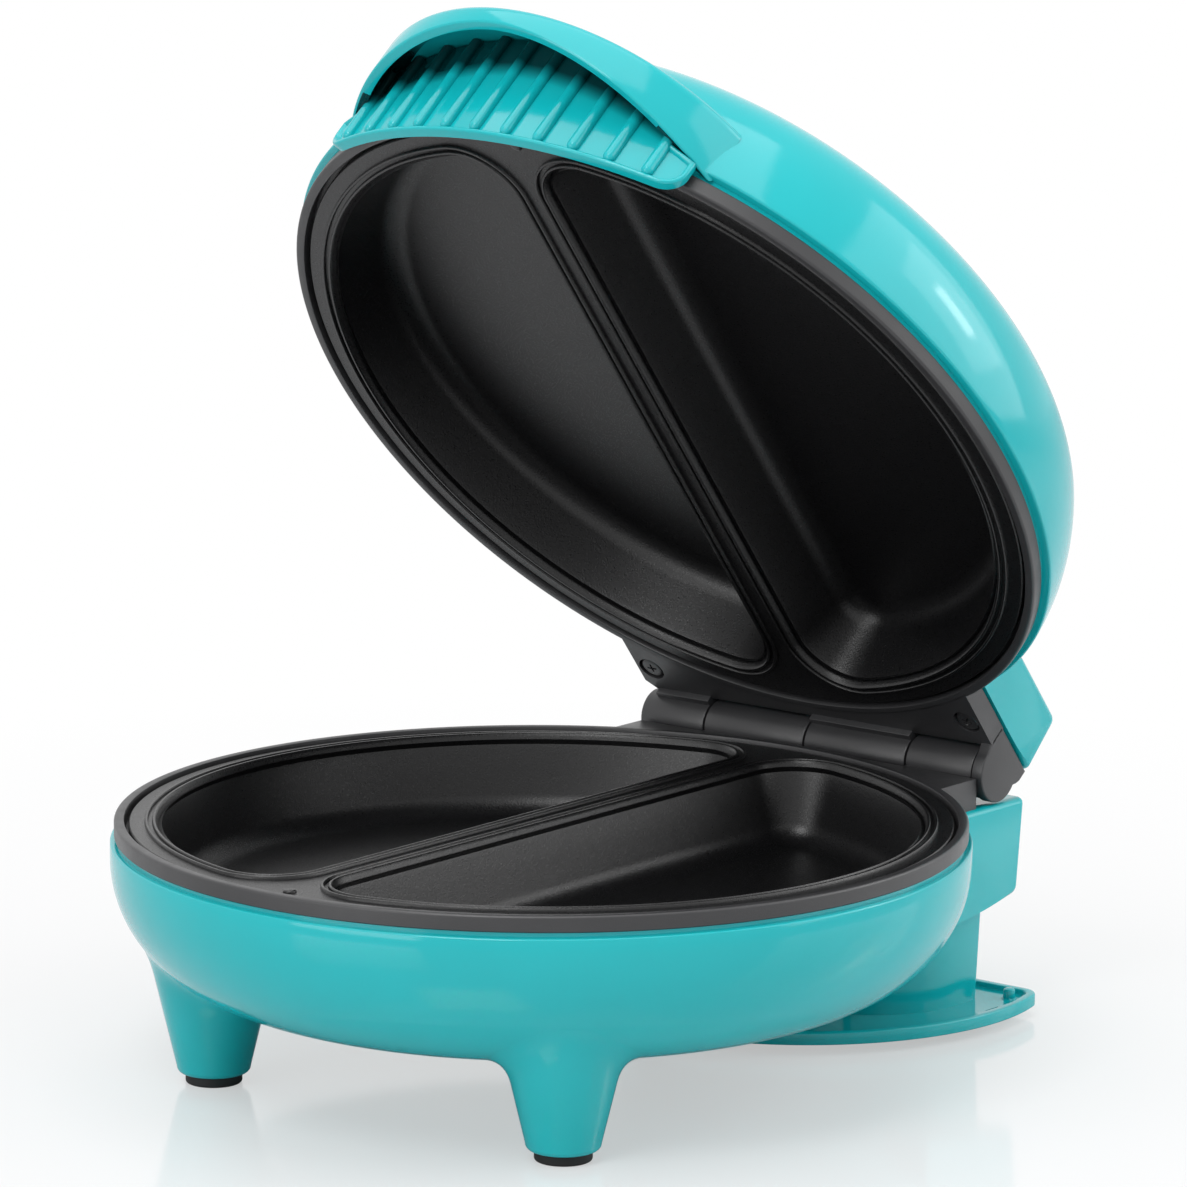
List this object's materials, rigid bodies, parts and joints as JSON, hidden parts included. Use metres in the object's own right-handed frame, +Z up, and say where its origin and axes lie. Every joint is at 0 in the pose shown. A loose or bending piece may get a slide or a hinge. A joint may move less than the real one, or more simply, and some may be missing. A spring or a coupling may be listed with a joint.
{
  "type": "electric omelette maker",
  "caption": "Round countertop omelette maker: a legged base and a hinged lid, each with D-shaped cooking pockets, a ribbed grip under an arched hood and a cord-wrap foot.",
  "frame": {"origin": "centre of the footprint with the lid open as stored, on the surface that the feet stand on", "axes": "+X to the right seen from the front, along the hinge pin; +Y from the grip's side towards the hinge; +Z up"},
  "size_m": [0.207, 0.238, 0.2581],
  "materials": {
    "teal_shell": "glossy moulded teal",
    "black_ring": "fine satin black moulding",
    "coated_plate": "satin black non-stick coating on cast aluminium",
    "black_rubber": "matte black",
    "fastener_steel": "zinc-plated",
    "heater_steel": "dull sheath",
    "reflector_sheet": "bright rolled sheet",
    "control_plastic": "dark moulded",
    "red_lens": "clear red",
    "green_lens": "clear green",
    "lamp_glass": "clear"
  },
  "bodies": {
    "base": {"base_housing": "teal_shell", "front_feet": "black_rubber", "rear_feet": "black_rubber", "cord_wrap_plate": "teal_shell", "wrap_plate_screws": "fastener_steel", "cord_bush": "black_rubber", "lower_frame": "black_ring", "hinge_pin": "fastener_steel", "lower_plate": "coated_plate", "plate_screws": "fastener_steel", "lower_heater": "heater_steel", "lower_heater_clips": "fastener_steel", "lower_reflector": "reflector_sheet", "thermostat": "control_plastic", "lower_thermal_fuse": "fastener_steel", "terminal_block": "control_plastic"},
    "lid": {"lid_shell": "teal_shell", "grip_insert": "teal_shell", "grip_screws": "fastener_steel", "upper_frame": "black_ring", "flange_screws": "fastener_steel", "upper_plate": "coated_plate", "upper_plate_screws": "fastener_steel", "upper_heater": "heater_steel", "upper_heater_clips": "fastener_steel", "upper_reflector": "reflector_sheet", "reflector_screws": "fastener_steel", "upper_thermal_fuse": "fastener_steel", "power_lens": "red_lens", "ready_lens": "green_lens", "indicator_lamps": "lamp_glass"}
  },
  "joints": [
    {"name": "lid_hinge", "type": "hinge", "parent": "base", "child": "lid", "pos_m": [0, 0.09618, 0.062], "axis": [-1, 0, 0], "range_deg": [-51.5, 30]}
  ]
}
